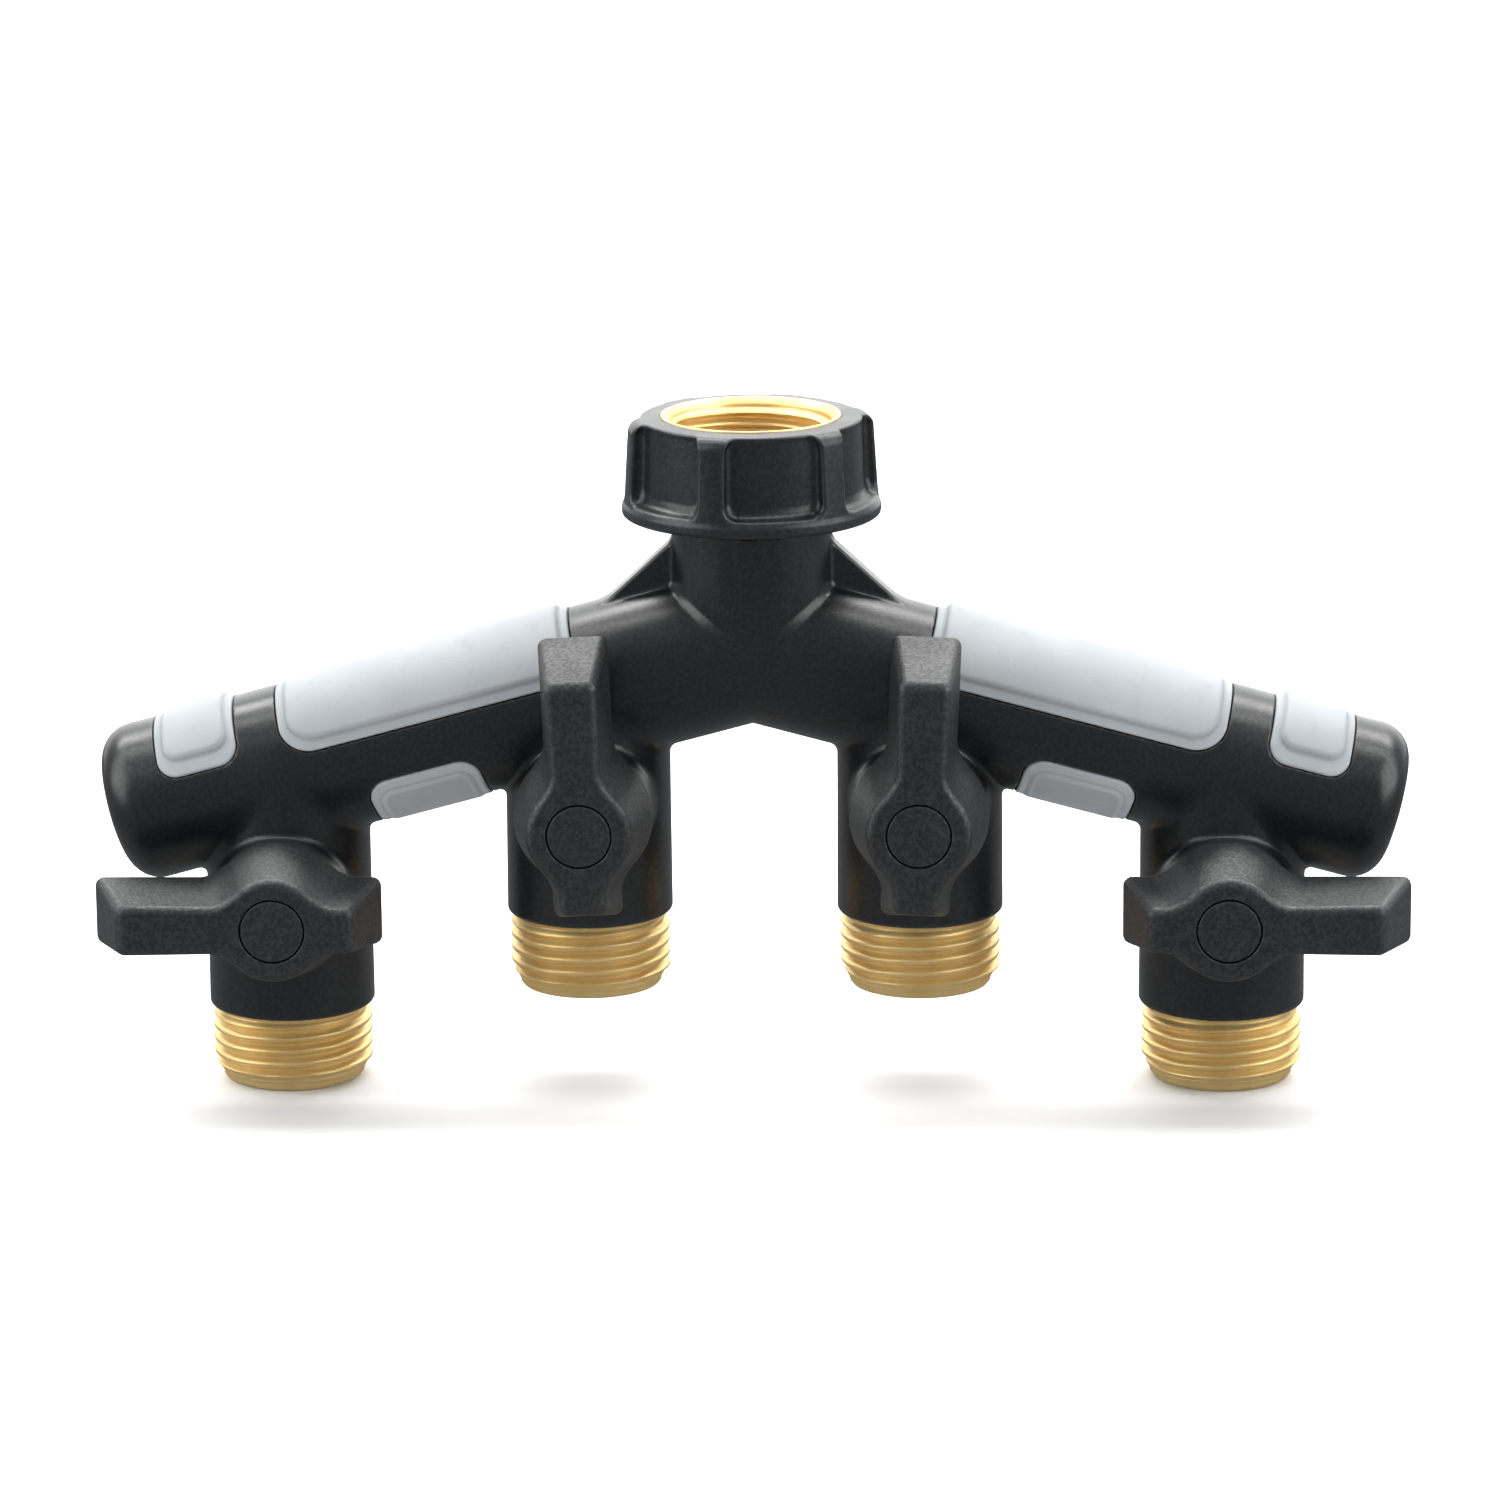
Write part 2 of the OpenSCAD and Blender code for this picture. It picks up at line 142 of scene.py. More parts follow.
def rounded_rect(u, v, half_u, half_v, r):
    qu, qv = np.abs(u) - half_u + r, np.abs(v) - half_v + r
    return np.minimum(np.maximum(qu, qv), 0) + np.hypot(np.maximum(qu, 0), np.maximum(qv, 0)) - r


def rod(radial, r, t, low, high, edge=0.3):
    """A round bar of radius r from low to high along t, with its edges rounded."""
    return round_both(radial - r, span(t, low, high), edge)


def arm_coords(x, z):
    """Distance out along the right arm's axis, and height above it."""
    c, s = math.cos(ARM_SLOPE), math.sin(ARM_SLOPE)
    return x * c - (z - ARM_TOP_Z) * s, x * s + (z - ARM_TOP_Z) * c


def wrap_rect(y, v, s, spec, up, grow=0.0):
    """A rounded rectangle wrapped over the arm, as a distance along its surface."""
    middle, half_len, half_deg, corner = spec
    arc = np.arctan2(np.abs(y), v * up) * ARM_R
    half_arc = math.radians(half_deg) * ARM_R
    return rounded_rect(s - middle, arc, half_len + grow, half_arc + grow, corner + grow)


def grip_field(y, v, s, grip):
    radial = np.hypot(y, v)
    border = round_both(wrap_rect(y, v, s, grip["border"], grip["up"]), radial - ARM_R - GRIP_BORDER, 0.35)
    panel = round_both(wrap_rect(y, v, s, grip["panel"], grip["up"]), radial - ARM_R - grip["rise"], 0.7)
    return np.maximum(blend_either(border, panel, 0.45), ARM_R - GRIP_INLAY - radial)


def fading(distance, least, most):
    """A fillet's radius: least on the line where equal tubes meet edge on, and most out at the side."""
    t = np.clip(np.abs(distance) / 11, 0, 1)
    return least + (most - least) * t * t * (3 - 2 * t)


def barrel_field(x, y, z, px, pz):
    """One outlet barrel: it narrows to the arm's own radius where it joins it."""
    top = ARM_TOP_Z - px * math.tan(ARM_SLOPE)
    narrowing = 0.5 * np.clip((z - top + 10) / 10, 0, 1) - 0.1 * np.clip((pz - z) / BARREL_DROP, 0, 1)
    return round_both(np.hypot(x - px, y) - BARREL_R + narrowing, span(z, pz - BARREL_DROP, top), 0.7)


def boss_field(x, y, z, px, pz):
    return rod(np.hypot(x - px, z - pz), BOSS_R, -y, -2, BOSS_FRONT, 0.5)


def gusset_field(x, y, z):
    """The thick plate in the plane of the outlets that ties the neck to the arm."""
    (x0, z0), (x1, z1) = (13.5, -15.2), (25.1, -25.9)
    edge = ((x - x0) * (z0 - z1) + (z - z0) * (x1 - x0)) / math.hypot(x1 - x0, z1 - z0)
    plate = round_both(edge, np.abs(y) - 2.4, 0.6)
    return np.maximum(plate, np.maximum(span(z, -36, -15), span(x, 4, 27)))


def stop_lug_field(x, y, z, px, pz):
    """The lug on a boss that stops its lever, down and towards the inlet from the pivot."""
    lean = LEAN if px == INNER_X else 0
    radial, angle = np.hypot(x - px, z - pz), np.arctan2(z - pz, x - px)
    half_width = math.radians(STOP_HALF_DEG) * (STOP_IN + STOP_OUT) / 2
    off = np.abs(angle + math.radians(135) + lean) * radial - half_width
    outline = np.maximum(off, span(radial, STOP_IN, STOP_OUT))
    return round_both(outline, span(-y, BOSS_FRONT - 1, STOP_TOP), 0.2)


def bores_field(x, y, z, px, pz):
    """The water way, valve cavity and stem hole of one barrel."""
    radial, face = np.hypot(x - px, y), np.hypot(x - px, z - pz)
    arm_z = ARM_TOP_Z - px * math.tan(ARM_SLOPE)
    hole = np.maximum(radial - CAVITY_R, span(z, pz - CAVITY_HALF, pz + CAVITY_HALF))
    hole = np.minimum(hole, np.maximum(radial - SLEEVE_R, span(z, pz - BARREL_DROP - 5, pz - CAVITY_HALF)))
    hole = np.minimum(hole, np.maximum(radial - PORT_R, span(z, pz, arm_z)))
    hole = np.minimum(hole, np.maximum(face - COLLAR_R, span(-y, 0, COLLAR_END)))
    return np.minimum(hole, np.maximum(face - STEM_HOLE_R, span(-y, 0, BOSS_FRONT + 5)))


def manifold_field(x, y, z):
    ax = np.abs(x)
    neck_radial = np.hypot(x, y)
    s, v = arm_coords(ax, z)
    radial = np.hypot(y, v)
    arms = np.maximum(radial - ARM_R, span(s, -20, ARM_LEN))
    neck = np.maximum(neck_radial - NECK_R, span(z, ARM_TOP_Z - 0.5, NECK_TOP))
    body = blend_either(arms, neck, fading(x, 0.1, 0.9))
    body = blend_either(body, gusset_field(ax, y, z), 0.9)
    for px, pz in ((INNER_X, INNER_Z), (OUTER_X, OUTER_Z)):
        body = blend_either(body, barrel_field(ax, y, z, px, pz), fading(ax - px, 0.1, 1.4))
        body = blend_either(body, boss_field(ax, y, z, px, pz), 1.0)
        body = np.minimum(body, stop_lug_field(ax, y, z, px, pz))
    for grip in GRIPS.values():
        recess = np.maximum(wrap_rect(y, v, s, grip["border"], grip["up"], 0.15),
                            span(radial, ARM_R - GRIP_INLAY, ARM_R + 1.5))
        body = cut(body, recess, 0.3)
    hole = np.maximum(radial - CHANNEL_R, span(s, -2, ARM_LEN + 5))
    hole = np.minimum(hole, np.maximum(neck_radial - TAIL_BORE_R, span(z, ARM_TOP_Z, 0)))
    hole = np.minimum(hole, np.maximum(neck_radial - TAIL_R, span(z, TAIL_END, 0)))
    for px, pz in ((INNER_X, INNER_Z), (OUTER_X, OUTER_Z)):
        hole = np.minimum(hole, bores_field(ax, y, z, px, pz))
    return np.maximum(body, -hole)


def nut_field(x, y, z):
    """Hand nut: a tapering drum with a flared foot, and six flutes sunk between its ribs."""
    radial, angle = np.hypot(x, y), np.arctan2(y, x)
    side = np.maximum(radial - NUT_R + 0.2 + NUT_TAPER * (z + 8.2), -10.2 - z)
    drum = blend_either(side, rod(radial, NUT_R, z, -10.9, -8.7, 0.5), 0.6)
    under = ((radial - NUT_R + 0.35) * 1.2 - (z + 10.8) * 2.65) / math.hypot(1.2, 2.65)
    drum = round_both(drum, under, 0.5)
    rim = (z - NUT_TOP) * math.cos(NUT_RIM_SLOPE) + (radial - INSERT_R) * math.sin(NUT_RIM_SLOPE)
    drum = round_both(drum, rim, 1.9)
    turn = np.mod(angle - FIRST_RIB, TAU / FLUTES) - TAU / FLUTES / 2
    up_flute = (z - FLUTE_BOTTOM) * 0.94 + (radial - NUT_R + 2) * 0.34
    outline = rounded_rect(turn * FLUTE_WALL_R, up_flute - FLUTE_HALF_H, FLUTE_HALF_W, FLUTE_HALF_H, 2.1)
    floor = radial - NUT_R + FLUTE_DEPTH + 0.03 * z
    nut = cut(drum, round_both(outline, -floor, 1.2), 0.6)
    return np.maximum(np.maximum(nut, NUT_BOTTOM - z), INSERT_R - radial)


def handle_field(a, b, d):
    """Lever: a across it, b along it from the pivot, d out from the barrel's axis."""
    t = (d - HANDLE_BACK) / (HANDLE_FRONT - HANDLE_BACK)
    half = LEVER_HALF_W - LEVER_HALF_W_LOSS * t + 0.018 * t * np.clip(b, 0, 26)
    tip = (b - LEVER_REACH + LEVER_REACH_LOSS * t) * 0.935
    stub = (-b - STUB_REACH + STUB_REACH_LOSS * t) * 0.957
    block = round_both((np.abs(a) - half) * 0.985, np.maximum(tip, stub), 1.5)
    radial = np.hypot(a, b)
    cone = (radial - HUB_R + HUB_R_LOSS * t) * 0.973
    body = blend_either(block, cone, 2.6)
    body = round_both(body, d - HANDLE_FRONT, 1.1)
    body = round_both(body, HANDLE_BACK - d, 0.25)
    hole = np.maximum(np.maximum(np.abs(a), np.abs(b)) - SQUARE_HALF, span(d, 10, SQUARE_END))
    hole = np.minimum(hole, np.maximum(radial - SCREW_HOLE_R, span(d, 20, 40)))
    hole = np.minimum(hole, np.maximum(radial - POCKET_R, span(d, POCKET_FLOOR, 40)))
    off_slot = (np.abs(np.arctan2(a, -b)) - math.radians(STOP_SLOT_HALF_DEG)) * radial
    slot = np.maximum(span(radial, STOP_IN - STOP_PLAY, STOP_OUT + STOP_PLAY), off_slot)
    hole = np.minimum(hole, np.maximum(slot, span(d, 10, STOP_TOP + 0.45)))
    body = np.maximum(body, -hole)
    return cut(body, np.maximum(radial - 5.45, span(d, CAP_SEAT, 40)), 0.15)


def cap_field(a, b, d):
    """The round cap over the handle's screw, with the skirt that holds it."""
    radial = np.hypot(a, b)
    disc = rod(radial, 5.2, d, CAP_SEAT, HANDLE_FRONT - 0.02, 0.25)
    skirt = np.maximum(span(radial, 3.8, POCKET_R - 0.02), span(d, CAP_SEAT - 1.2, CAP_SEAT + 0.4))
    return np.minimum(disc, skirt)


# ---------------------------------------------------------------- meshes from fields
def gradient(field, p, h=0.02):
    g = np.empty_like(p)
    for k in range(3):
        ahead, behind = p.copy(), p.copy()
        ahead[:, k] += h
        behind[:, k] -= h
        g[:, k] = (field(*ahead.T) - field(*behind.T)) / (2 * h)
    return g


def convexity_for_light_and_shade(field, p, h=0.25):
    """0.5 where the surface is flat, nearer 1 on outer edges and nearer 0 in inner corners. The materials use it
    to paint highlights on outer edges and shade in inner corners.
    """
    total = -6 * field(*p.T)
    for k in range(3):
        for way in (h, -h):
            q = p.copy()
            q[:, k] += way
            total += field(*q.T)
    return (0.5 + 0.5 * np.clip(total / h ** 2 * 0.8, -1, 1)).astype(np.float32)


def settle(field, p, step, rounds=4):
    """Moves points onto the field's surface."""
    for _ in range(rounds):
        f, g = field(*p.T), gradient(field, p)
        move = (f / np.maximum((g ** 2).sum(1), 0.25))[:, None] * g
        size = np.linalg.norm(move, axis=1, keepdims=True)
        p = p - move * np.minimum(1, 0.5 * step / np.maximum(size, 1e-9))
    return p


def sample(field, low, counts, step):
    """The field on a grid, worked out in full only in the blocks that the surface may cross."""
    block = 4
    counts = (counts + block - 1) // block * block
    centres = [low[k] + step * (np.arange(counts[k] // block) * block + (block - 1) / 2) for k in range(3)]
    grid = np.meshgrid(*centres, indexing="ij")
    coarse = field(*grid)
    near = np.abs(coarse) < step * block * 0.9 + 1.2
    values = np.repeat(np.repeat(np.repeat(coarse, block, 0), block, 1), block, 2)
    cells = np.argwhere(np.repeat(np.repeat(np.repeat(near, block, 0), block, 1), block, 2))
    points = low + step * cells
    for first in range(0, len(points), 400_000):
        part = slice(first, first + 400_000)
        values[tuple(cells[part].T)] = field(*points[part].T)
    return values


CORNERS = np.array([(i, j, k) for i in (0, 1) for j in (0, 1) for k in (0, 1)])
EDGES = [(a, b) for a in range(8) for b in range(a + 1, 8) if np.abs(CORNERS[a] - CORNERS[b]).sum() == 1]


def surface(field, low, high, step):
    """Vertices and quads of the field's surface: one vertex in each grid cell that it crosses."""
    low = np.array(low, float) - 2.13 * step
    counts = np.ceil((np.array(high, float) + 2 * step - low) / step).astype(int) + 1
    values = sample(field, low, counts, step)
    inside = values < 0
    cell_range = tuple(slice(0, n - 1) for n in values.shape)
    count = sum(inside[i:, j:, k:][cell_range].astype(np.int8) for i, j, k in CORNERS)
    active = (count > 0) & (count < 8)
    cells = np.argwhere(active)
    corner = np.stack([values[tuple((cells + c).T)] for c in CORNERS], 1)
    total, hits = np.zeros((len(cells), 3)), np.zeros(len(cells))
    for a, b in EDGES:
        cross = (corner[:, a] < 0) != (corner[:, b] < 0)
        t = corner[cross, a] / (corner[cross, a] - corner[cross, b])
        total[cross] += CORNERS[a] + t[:, None] * (CORNERS[b] - CORNERS[a])
        hits[cross] += 1
    verts = low + step * (cells + total / hits[:, None])
    number = np.full(active.shape, -1)
    number[active] = np.arange(len(cells))
    faces = []
    for axis in range(3):
        u, v = (axis + 1) % 3, (axis + 2) % 3
        first = [slice(None)] * 3
        second = [slice(None)] * 3
        first[axis], second[axis] = slice(0, -1), slice(1, None)
        crossing = np.argwhere(inside[tuple(first)] != inside[tuple(second)])
        quad = []
        for du, dv in ((-1, -1), (0, -1), (0, 0), (-1, 0)):
            cell = crossing.copy()
            cell[:, u] += du
            cell[:, v] += dv
            quad.append(number[tuple(cell.T)])
        quad = np.stack(quad, 1)
        outward = inside[tuple(crossing.T)]
        faces.append(np.where(outward[:, None], quad, quad[:, ::-1]))
    return settle(field, verts, step), np.concatenate(faces)


def mesh_object(name, verts, faces):
    mesh = bpy.data.meshes.new(name)
    mesh.from_pydata(np.asarray(verts).tolist(), [], faces if isinstance(faces, list) else faces.tolist())
    mesh.validate()
    obj = bpy.data.objects.new(name, mesh)
    bpy.context.scene.collection.objects.link(obj)
    return obj


def thinned(verts, faces, keep):
    """Fewer, larger triangles where the surface is plain."""
    obj = mesh_object("thinning", verts, faces)
    modifier = obj.modifiers.new("thin", "DECIMATE")
    modifier.ratio = keep
    result = obj.evaluated_get(bpy.context.evaluated_depsgraph_get()).to_mesh()
    points = np.empty(len(result.vertices) * 3, np.float32)
    result.vertices.foreach_get("co", points)
    polygons = [tuple(p.vertices) for p in result.polygons]
    points = points.reshape(-1, 3).astype(float)
    bpy.data.objects.remove(obj)
    return points, polygons


def moulded(field, low, high, step, keep=0.3):
    """A field's surface as vertices, faces, its own exact normals and its convexity, which the materials use for
    painted edge highlights and painted corner shade.
    """
    verts, faces = surface(field, low, high, step)
    verts, faces = thinned(verts, faces, keep)
    verts = settle(field, verts, step, 2)
    normals = gradient(field, verts)
    return verts, faces, normals / np.linalg.norm(normals, axis=1, keepdims=True), convexity_for_light_and_shade(field, verts)


def place(name, shape, turn, material, body, nodes):
    """A moulded or turned shape put in the frame: turn is its matrix in millimetres."""
    verts, faces, normals, edge_light_corner_shade = shape
    rotation = np.array(turn.to_3x3())
    obj = mesh_object(name, (verts @ rotation.T + np.array(turn.translation)) * MM, faces)
    obj.data.polygons.foreach_set("use_smooth", [True] * len(obj.data.polygons))
    if normals is not None:
        obj.data.normals_split_custom_set_from_vertices((normals @ rotation.T).tolist())
    # Convexity at each point, kept as an attribute for the painted edge highlights and painted corner shade in the
    # materials.
    if edge_light_corner_shade is not None:
        obj.data.attributes.new("edge_light_corner_shade", "FLOAT", "POINT").data.foreach_set("value", edge_light_corner_shade)
    obj.data.materials.append(material)
    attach(obj, body)
    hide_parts(*nodes)
    return obj


# ---------------------------------------------------------------- turned shapes
def thread_rows(z0, z1, root, crest, segments=160, per_turn=14):
    """Rows of a helical thread between two heights, and their number to a turn. Each row climbs one pitch
    a turn, and the ridge fades in over half a turn and out over the last."""
    flat, flank = 0.25, THREAD_H * math.tan(math.radians(30))
    rise = np.arange(segments) / segments * PITCH
    rows = []
    for k in range(math.floor((z0 - PITCH) / PITCH * per_turn), math.ceil(z1 / PITCH * per_turn) + 1):
        phase = abs((k % per_turn) / per_turn - 0.5) * PITCH
        height = np.clip((flat + flank - phase) / flank, 0, 1)
        z = np.clip(k * PITCH / per_turn + rise, z0, z1)
        fade = np.clip((z - z0) / (0.5 * PITCH), 0, 1) * np.clip((z1 - z) / (0.5 * PITCH), 0, 1)
        rows.append(np.stack([root + (crest - root) * height * fade, z], -1))
    return rows, per_turn


def turned(below, thread=None, above=(), segments=160):
    """A closed profile of (radius, height) points spun round local z, listed so that the outside rises and
    a bore falls. A thread's rows may stand between the points below it and those above."""
    rows, per_turn = thread or ([], 0)
    rings = [np.broadcast_to(np.array(p, float), (segments, 2)) for p in below]
    first, last = len(rings), len(rings) + len(rows) - 1
    rings += rows + [np.broadcast_to(np.array(p, float), (segments, 2)) for p in above]
    table = np.stack(rings)
    angle = np.arange(segments) * TAU / segments
    verts = np.stack([table[..., 0] * np.cos(angle), table[..., 0] * np.sin(angle), table[..., 1]], -1)
    number = np.arange(table.shape[0] * segments).reshape(table.shape[:2])
    onward = np.roll(number, -1, 1)
    for row in range(first, last + 1):
        onward[row, -1] = number[min(max(row + per_turn, first), last), 0]
    faces = np.stack([number, onward, np.roll(onward, -1, 0), np.roll(number, -1, 0)], -1).reshape(-1, 4)
    return verts.reshape(-1, 3), faces, None, None


def cleaned(obj, sharp_deg=38):
    """Joins doubled points, drops faces with no area and keeps edges over sharp_deg crisp."""
    bm = bmesh.new()
    bm.from_mesh(obj.data)
    bmesh.ops.remove_doubles(bm, verts=bm.verts, dist=1e-7)
    bmesh.ops.dissolve_degenerate(bm, dist=1e-7, edges=bm.edges)
    bm.to_mesh(obj.data)
    bm.free()
    obj.data.polygons.foreach_set("use_smooth", [True] * len(obj.data.polygons))
    obj.data.set_sharp_from_angle(angle=math.radians(sharp_deg))
    return obj


# ---------------------------------------------------------------- materials
def node(tree, kind, inputs=(), **settings):
    """A new shader node: each input is a value or another node's output."""
    made = tree.nodes.new(kind)
    for key, value in settings.items():
        setattr(made, key, value)
    for key, value in dict(inputs).items():
        if isinstance(value, bpy.types.NodeSocket):
            tree.links.new(value, made.inputs[key])
        else:
            made.inputs[key].default_value = value
    return made


def noise(tree, where, size_mm, detail=2.0, roughness=0.5):
    made = node(tree, "ShaderNodeTexNoise",
                {"Vector": where, "Scale": 1 / (size_mm * MM), "Detail": detail, "Roughness": roughness})
    return made.outputs["Fac"]


def between(tree, value, low, high, out_low, out_high):
    """value, mapped from low..high to out_low..out_high and held there."""
    return node(tree, "ShaderNodeMapRange", {"Value": value, "From Min": low, "From Max": high,
                                              "To Min": out_low, "To Max": out_high}).outputs["Result"]


def mixed(tree, fac, a, b):
    made = node(tree, "ShaderNodeMix", {"Factor": fac}, data_type="RGBA")
    for socket, value in ((made.inputs[6], a), (made.inputs[7], b)):
        if isinstance(value, bpy.types.NodeSocket):
            tree.links.new(value, socket)
        else:
            socket.default_value = (*value, 1)
    return made.outputs[2]


def start_material(name, **sockets):
    """A material, its tree, its shader and the piece's own coordinates."""
    material = bpy.data.materials.new(name)
    material.use_nodes = True
    tree = material.node_tree
    shader = tree.nodes["Principled BSDF"]
    for key, value in sockets.items():
        shader.inputs[key.replace("_", " ")].default_value = value
    return material, tree, shader, node(tree, "ShaderNodeTexCoord").outputs["Object"]


def feed(tree, shader, colour, roughness, height, depth_mm, strength=1.0):
    tree.links.new(colour, shader.inputs["Base Color"])
    tree.links.new(roughness, shader.inputs["Roughness"])
    bump = node(tree, "ShaderNodeBump", {"Height": height, "Distance": depth_mm * MM, "Strength": strength})
    tree.links.new(bump.outputs["Normal"], shader.inputs["Normal"])


def plastic(name, dark, light, rough, grain_mm, grain_depth, level, coarse_front_y=None):
    """Moulded plastic: spark-eroded grain that glints, uneven gloss and a painted highlight that lightens its
    outer edges. In front of coarse_front_y the grain is as coarse as the levers'."""
    material, tree, shader, where = start_material(name)
    broad = noise(tree, where, 22, 4)
    grain = noise(tree, where, grain_mm, 2, 0.6)
    edge_light_corner_shade = node(tree, "ShaderNodeAttribute", attribute_name="edge_light_corner_shade").outputs["Fac"]
    # Painted highlight: outer edges are mixed toward a paler grey.
    edge = between(tree, edge_light_corner_shade, 0.55, 0.95, 0, 0.55)
    colour = mixed(tree, between(tree, broad, 0.35, 0.65, 0, 1), dark, light)
    edge_highlight_grey = tuple(1.9 * c + 0.004 for c in light)
    colour = mixed(tree, edge, colour, edge_highlight_grey)
    specks = noise(tree, where, grain_mm * 1.4, 1)
    colour = mixed(tree, between(tree, specks, 0.42, 0.62, 0, 0.35), colour, tuple(1.35 * c for c in light))
    tree.links.new(between(tree, specks, 0.38, 0.62, *level), shader.inputs["Specular IOR Level"])
    gloss = between(tree, noise(tree, where, 9, 3), 0.3, 0.7, rough[0], rough[1])
    if coarse_front_y is not None:
        y = node(tree, "ShaderNodeSeparateXYZ", {"Vector": where}).outputs["Y"]
        more = between(tree, y, coarse_front_y * MM, (coarse_front_y - 0.8) * MM, 1, 5)
        grain = node(tree, "ShaderNodeMath", {0: grain, 1: more}, operation="MULTIPLY").outputs[0]
        duller = between(tree, more, 1, 5, 0, 0.18)
        gloss = node(tree, "ShaderNodeMath", {0: gloss, 1: duller}, operation="ADD").outputs[0]
    feed(tree, shader, colour, gloss, grain, grain_depth)
    return material


def soft_grip(name):
    """Light grey elastomer with a fine matt skin, faint marks of handling and painted shade that darkens its inner
    corners.
    """
    material, tree, shader, where = start_material(
        name, Specular_IOR_Level=0.35, Sheen_Weight=0.12, Sheen_Roughness=0.6)
    cloud = noise(tree, where, 14, 5, 0.6)
    smear = noise(tree, where, 3.5, 3, 0.55)
    colour = mixed(tree, between(tree, cloud, 0.35, 0.65, 0, 1), (0.30, 0.321, 0.339), (0.34, 0.361, 0.379))
    colour = mixed(tree, between(tree, smear, 0.52, 0.72, 0, 0.4), colour, (0.27, 0.289, 0.306))
    edge_light_corner_shade = node(tree, "ShaderNodeAttribute", attribute_name="edge_light_corner_shade").outputs["Fac"]
    # Painted shade: the grip's inner corners and steps are darkened.
    colour = mixed(tree, between(tree, edge_light_corner_shade, 0.5, 0.2, 0, 0.65), colour, (0.22, 0.24, 0.26))
    gloss = between(tree, smear, 0.3, 0.7, 0.5, 0.68)
    feed(tree, shader, colour, gloss, noise(tree, where, 0.32, 3), 0.035, 0.8)
    return material


def brass(name):
    """Turned brass: fine tool lines round the axis, warm stains and an uneven satin gloss."""
    material, tree, shader, where = start_material(name, Metallic=0.8)
    stain = noise(tree, where, 7, 4, 0.6)
    colour = mixed(tree, between(tree, stain, 0.35, 0.68, 0, 1), (0.87, 0.65, 0.30), (0.78, 0.56, 0.225))
    waves = {"Vector": where, "Scale": 1400, "Distortion": 1.2, "Detail": 2.0}
    lines = node(tree, "ShaderNodeTexWave", waves, wave_type="BANDS", bands_direction="Z").outputs["Fac"]
    uneven = noise(tree, where, 0.5, 2)
    tool = node(tree, "ShaderNodeMath", {0: lines, 1: uneven}, operation="ADD").outputs[0]
    gloss = between(tree, noise(tree, where, 2.5, 4), 0.3, 0.7, 0.42, 0.54)
    feed(tree, shader, colour, gloss, tool, 0.004, 0.5)
    return material


def steel(name, colour_a, colour_b, rough):
    material, tree, shader, where = start_material(name, Metallic=1.0)
    cloud = noise(tree, where, 4, 3)
    colour = mixed(tree, between(tree, cloud, 0.35, 0.65, 0, 1), colour_a, colour_b)
    gloss = between(tree, noise(tree, where, 1.2, 3), 0.3, 0.7, rough, rough + 0.12)
    feed(tree, shader, colour, gloss, noise(tree, where, 0.2), 0.003, 0.5)
    return material


def rubber(name):
    material, tree, shader, where = start_material(name, Specular_IOR_Level=0.4)
    cloud = noise(tree, where, 5, 3)
    colour = mixed(tree, between(tree, cloud, 0.35, 0.65, 0, 1), (0.012, 0.012, 0.013), (0.03, 0.03, 0.032))
    gloss = between(tree, cloud, 0.3, 0.7, 0.5, 0.7)
    feed(tree, shader, colour, gloss, noise(tree, where, 0.25), 0.02)
    return material


def seat_plastic(name):
    material, tree, shader, where = start_material(name, Subsurface_Weight=0.05)
    cloud = noise(tree, where, 5, 3)
    colour = mixed(tree, between(tree, cloud, 0.35, 0.65, 0, 1), (0.86, 0.86, 0.82), (0.76, 0.76, 0.72))
    gloss = between(tree, cloud, 0.3, 0.7, 0.35, 0.5)
    feed(tree, shader, colour, gloss, noise(tree, where, 0.3), 0.01)
    return material


BODY = plastic("moulded_black", (0.0042, 0.0052, 0.006), (0.0066, 0.0078, 0.0088),
               rough=(0.28, 0.36), grain_mm=0.45, grain_depth=0.02, level=(0.5, 0.6), coarse_front_y=-14.1)
NUT = plastic("nut_black", (0.005, 0.0061, 0.007), (0.0078, 0.009, 0.01),
              rough=(0.32, 0.4), grain_mm=0.5, grain_depth=0.03, level=(0.4, 0.52))
LEVER = plastic("lever_black", (0.0045, 0.0055, 0.0063), (0.0072, 0.0084, 0.0094),
                rough=(0.46, 0.56), grain_mm=0.42, grain_depth=0.1, level=(0.5, 0.85))
GRIP = soft_grip("grip_grey")
BRASS = brass("turned_brass")
STEEL = steel("plain_steel", (0.55, 0.56, 0.57), (0.42, 0.43, 0.45), 0.25)
CHROME = steel("chrome_ball", (0.72, 0.73, 0.74), (0.66, 0.67, 0.69), 0.05)
RUBBER = rubber("black_rubber")
SEAT = seat_plastic("white_seat")
SLOTS = {"body_plastic": BODY, "nut_plastic": NUT, "handle_plastic": LEVER, "grip_rubber": GRIP,
         "brass": BRASS, "seal_rubber": RUBBER, "seat_ptfe": SEAT, "ball_chrome": CHROME, "steel": STEEL}

# ---------------------------------------------------------------- the pieces
UPRIGHT = Matrix.Identity(4)
ARM_AXES = Matrix.Translation((0, 0, ARM_TOP_Z)) @ Matrix.Rotation(ARM_SLOPE, 4, "Y") @ Matrix((
    (0, 0, 1, 0), (1, 0, 0, 0), (0, 1, 0, 0), (0, 0, 0, 1)))
SIDES = {"right": UPRIGHT, "left": Matrix.Rotation(math.pi, 4, "Z")}


def lever_axes(key):
    """Local x across the lever, y along it and z out to the front, with the origin on the pivot."""
    along, out = Vector(LEVERS[key]), Vector((0, -1, 0))
    across = along.cross(out)
    turn = Matrix((across, along, out)).transposed().to_4x4()
    return Matrix.Translation(PIVOTS[key]) @ turn


def make_manifold():
    low, high = (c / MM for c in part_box("manifold_body"))
    shape = moulded(manifold_field, low, high, 0.45, 0.32)
    place("manifold_moulding", shape, UPRIGHT, BODY, "manifold", ["manifold_body"])


